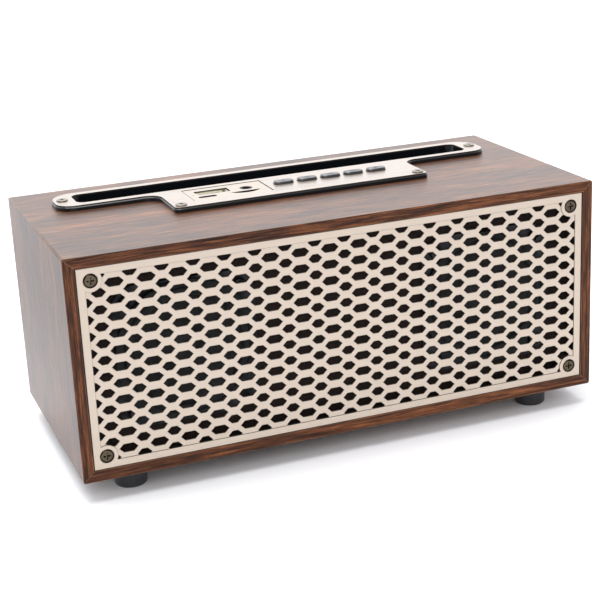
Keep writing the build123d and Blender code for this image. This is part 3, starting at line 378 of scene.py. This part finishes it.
FINISH = {
    "cabinet_top": wood_x,
    "cabinet_bottom": wood_x,
    "cabinet_left_side": wood_z,
    "cabinet_right_side": wood_z,
    "rear_panel": wood_x,
    "corner_battens": battens_wood,
    "baffle_board": board_black,
    "grille": grille_paint,
    "grille_screws": screw_nickel,
    "control_plate_screws": screw_champagne,
    "rear_panel_screws": steel_black,
    "foot_screws": steel_black,
    "driver_screws": steel_black,
    "board_screws": nickel,
    "feet": foot_rubber,
    "bass_port": plastic_black,
    "control_housing": housing_black,
    "control_plate": plate_metal,
    "port_insert": insert_paint,
    "usb_shell": nickel,
    "usb_tongue": plastic_white,
    "micro_usb_socket": nickel,
    "headphone_jack": plastic_black,
    "card_socket": plastic_black,
    "status_light": pipe,
    "button_switches": plastic_black,
    "control_board": green_board,
    "board_components": plastic_black,
    "battery_cell": cell_sleeve,
    "battery_cradle": plastic_black,
    "battery_lead": lead_sleeve,
    "speaker_leads": lead_sleeve,
    "driver_baskets": steel_black,
    "driver_surrounds": surround_rubber,
    "driver_gaskets": foam,
    "driver_spiders": spider_cloth,
    "driver_front_plates": nickel,
    "driver_magnets": ferrite,
    "driver_yokes": nickel,
    "driver_terminals": green_board,
    "left_cone": cone_paper,
    "right_cone": cone_paper,
    "left_dust_cap": cone_paper,
    "right_dust_cap": cone_paper,
    "left_voice_coil": copper,
    "right_voice_coil": copper,
}
BUTTONS = ("power", "back", "play", "next", "mode")
for button in BUTTONS:
    FINISH[f"{button}_button"] = button_paint

for name, piece in nodes.items():
    piece.data.materials.clear()
    piece.data.materials.append(FINISH[name])


# ---------------------------------------------------------------- softened edges on the CAD pieces

EDGE_RADIUS = {
    "cabinet_top": 0.18,
    "cabinet_bottom": 0.18,
    "cabinet_left_side": 0.18,
    "cabinet_right_side": 0.18,
    "rear_panel": 0.3,
    "grille": 0.12,
    "control_plate": 0.12,
    "port_insert": 0.06,
    "control_housing": 0.15,
    "bass_port": 0.2,
    "feet": 0.2,
    "grille_screws": 0.08,
    "control_plate_screws": 0.08,
    "rear_panel_screws": 0.08,
}
SHARP_ANGLE = math.radians(32)


def soften(piece, radius):
    """Joins the split vertices of a CAD mesh and rounds its sharp edges."""
    weld = piece.modifiers.new("weld", "WELD")
    weld.merge_threshold = 0.001 * MM
    bevel = piece.modifiers.new("rounded_edges", "BEVEL")
    bevel.width = radius * MM
    bevel.segments = 2
    bevel.limit_method = "ANGLE"
    bevel.angle_limit = SHARP_ANGLE
    bevel.miter_outer = "MITER_ARC"
    bevel.harden_normals = False
    bevel.use_clamp_overlap = True


for name, radius in EDGE_RADIUS.items():
    soften(nodes[name], radius)


# ---------------------------------------------------------------- button icons


def mesh_piece(name, polygons, height):
    """A thin raised mark: convex outlines in the XY plane at their own z, extruded up by height."""
    mesh = bpy.data.meshes.new(name)
    shape = bmesh.new()
    for outline in polygons:
        face = shape.faces.new([shape.verts.new(point) for point in outline])
        lifted = bmesh.ops.extrude_face_region(shape, geom=[face])["geom"]
        corners = [item for item in lifted if isinstance(item, bmesh.types.BMVert)]
        bmesh.ops.translate(shape, verts=corners, vec=(0, 0, height))
    bmesh.ops.recalc_face_normals(shape, faces=shape.faces)
    shape.to_mesh(mesh)
    shape.free()
    piece = bpy.data.objects.new(name, mesh)
    bpy.context.scene.collection.objects.link(piece)
    return piece


def bar(x, width, height):
    """A rectangle centred on x."""
    return [(x - width / 2, -height / 2), (x + width / 2, -height / 2), (x + width / 2, height / 2), (x - width / 2, height / 2)]


def arrow(x, width, height):
    """A triangle with its base at x, pointing right for a positive width and left for a negative one."""
    return [(x, -height / 2), (x + width, 0), (x, height / 2)]


def ring(radius, stroke, start, stop, steps=20):
    """An arc of the given stroke as short quads, angles in degrees."""
    quads = []
    for index in range(steps):
        angles = [math.radians(start + (stop - start) * (index + k) / steps) for k in (0, 1)]
        inner = [(radius * math.cos(a), radius * math.sin(a)) for a in angles]
        outer = [((radius + stroke) * math.cos(a), (radius + stroke) * math.sin(a)) for a in angles]
        quads.append([inner[0], inner[1], outer[1], outer[0]])
    return quads


ICONS = {
    "power": ring(0.62, 0.22, 125, 415) + [[(x, y + 0.55) for x, y in bar(0, 0.22, 0.9)]],
    "back": [bar(-1.1, 0.22, 1.4), arrow(0.05, -0.95, 1.4), arrow(1.05, -0.95, 1.4)],
    "play": [arrow(-1.0, 1.05, 1.5), bar(0.55, 0.25, 1.4), bar(1.0, 0.25, 1.4)],
    "next": [bar(1.1, 0.22, 1.4), arrow(-0.05, 0.95, 1.4), arrow(-1.05, 0.95, 1.4)],
    "mode": ring(0.75, 0.2, 0, 360) + [bar(0, 0.5, 0.5)],
}
ICON_SINK = 0.01 * MM
ICON_HEIGHT = 0.04 * MM

for button, outlines in ICONS.items():
    low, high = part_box(f"{button}_button")
    middle_x = (low[0] + high[0]) / 2
    middle_y = (low[1] + high[1]) / 2
    placed = [
        [(middle_x + x * MM, middle_y + y * MM, high[2] - ICON_SINK) for x, y in outline] for outline in outlines
    ]
    icon = mesh_piece(f"{button}_icon", placed, ICON_HEIGHT)
    icon.data.materials.append(icon_ink)
    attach(icon, button + "_button")


# ---------------------------------------------------------------- studio

FLOOR_SIZE = 6.0


def studio_floor():
    """A large white sheet."""
    bpy.ops.mesh.primitive_plane_add(size=FLOOR_SIZE, location=(0, 0, 0))
    floor = bpy.context.object
    floor.name = "studio_floor"
    material, tree, shader = new_material("white_sheet")
    fibres = noise(tree, stretched(tree, (300, 300, 300)), detail=2.0)
    sheet = mix(tree, fibres, (0.93, 0.93, 0.95), (0.95, 0.95, 0.97))
    coordinates = add(tree, "ShaderNodeTexCoord").outputs["Object"]
    place = add(tree, "ShaderNodeSeparateXYZ", [(0, coordinates)]).outputs
    inputs = [("Value", place["X"]), ("From Min", -0.22), ("From Max", -0.12), ("To Min", 0.45), ("To Max", 0.0)]
    leftward = add(tree, "ShaderNodeMapRange", inputs).outputs[0]
    inputs = [("Value", place["Y"]), ("From Min", 0.25), ("From Max", 0.45), ("To Min", 1.0), ("To Max", 0.0)]
    forward = add(tree, "ShaderNodeMapRange", inputs).outputs[0]
    shade = math_node(tree, "SUBTRACT", 1.0, math_node(tree, "MULTIPLY", leftward, forward))
    put(tree, shader.inputs["Base Color"], mix(tree, 1.0, sheet, shade, blend="MULTIPLY"))
    put(tree, shader.inputs["Roughness"], 0.9)
    put(tree, shader.inputs["Specular IOR Level"], 0.1)
    floor.data.materials.append(material)


def studio_world(front, back):
    """White surroundings, brighter behind the object than in front of it."""
    world = bpy.data.worlds.new("studio")
    bpy.context.scene.world = world
    world.use_nodes = True
    tree = world.node_tree
    tree.nodes.clear()
    output = tree.nodes.new("ShaderNodeOutputWorld")
    direction = add(tree, "ShaderNodeTexCoord").outputs["Generated"]
    depth = add(tree, "ShaderNodeSeparateXYZ", [(0, direction)]).outputs["Y"]
    inputs = [("Value", depth), ("From Min", -0.6), ("From Max", 0.5), ("To Min", front), ("To Max", back)]
    strength = add(tree, "ShaderNodeMapRange", inputs).outputs[0]
    background = add(tree, "ShaderNodeBackground", [("Color", (0.97, 0.98, 1.0, 1.0)), ("Strength", strength)])
    tree.links.new(background.outputs[0], output.inputs["Surface"])


def softbox(name, location, target, size, power, colour=(1.0, 1.0, 1.0)):
    """A square area light aimed at a point."""
    light = bpy.data.lights.new(name, "AREA")
    light.shape = "SQUARE"
    light.size = size
    light.energy = power
    light.color = colour
    lamp = bpy.data.objects.new(name, light)
    bpy.context.scene.collection.objects.link(lamp)
    lamp.location = location
    lamp.rotation_euler = (Vector(target) - Vector(location)).to_track_quat("-Z", "Y").to_euler()


def photo_camera():
    """The camera: three-quarter view from the front left, slightly above and slightly rolled."""
    eye = Vector((-0.20655, -0.55605, 0.24818))
    target = Vector((-0.00768, -0.0192, 0.05629))
    roll = math.radians(-2.827)
    forward = (target - eye).normalized()
    right = Matrix.Rotation(-roll, 3, forward) @ forward.cross(UP).normalized()
    above = right.cross(forward)
    data = bpy.data.cameras.new("camera")
    data.sensor_width = 36.0
    data.lens = 88.51
    data.clip_start = 0.01
    camera = bpy.data.objects.new("camera", data)
    bpy.context.scene.collection.objects.link(camera)
    turn = Matrix((right, above, -forward)).transposed()
    camera.matrix_world = Matrix.Translation(eye) @ turn.to_4x4()
    bpy.context.scene.camera = camera


studio_floor()
studio_world(0.32, 1.70)
softbox("overhead", (-0.10, 0.05, 1.20), (0.0, 0.0, 0.05), 1.0, 13.0)
softbox("front_fill", (-0.35, -1.30, 0.95), (0.0, 0.0, 0.05), 0.9, 9.0)
photo_camera()
bpy.context.scene.view_settings.view_transform = "Standard"
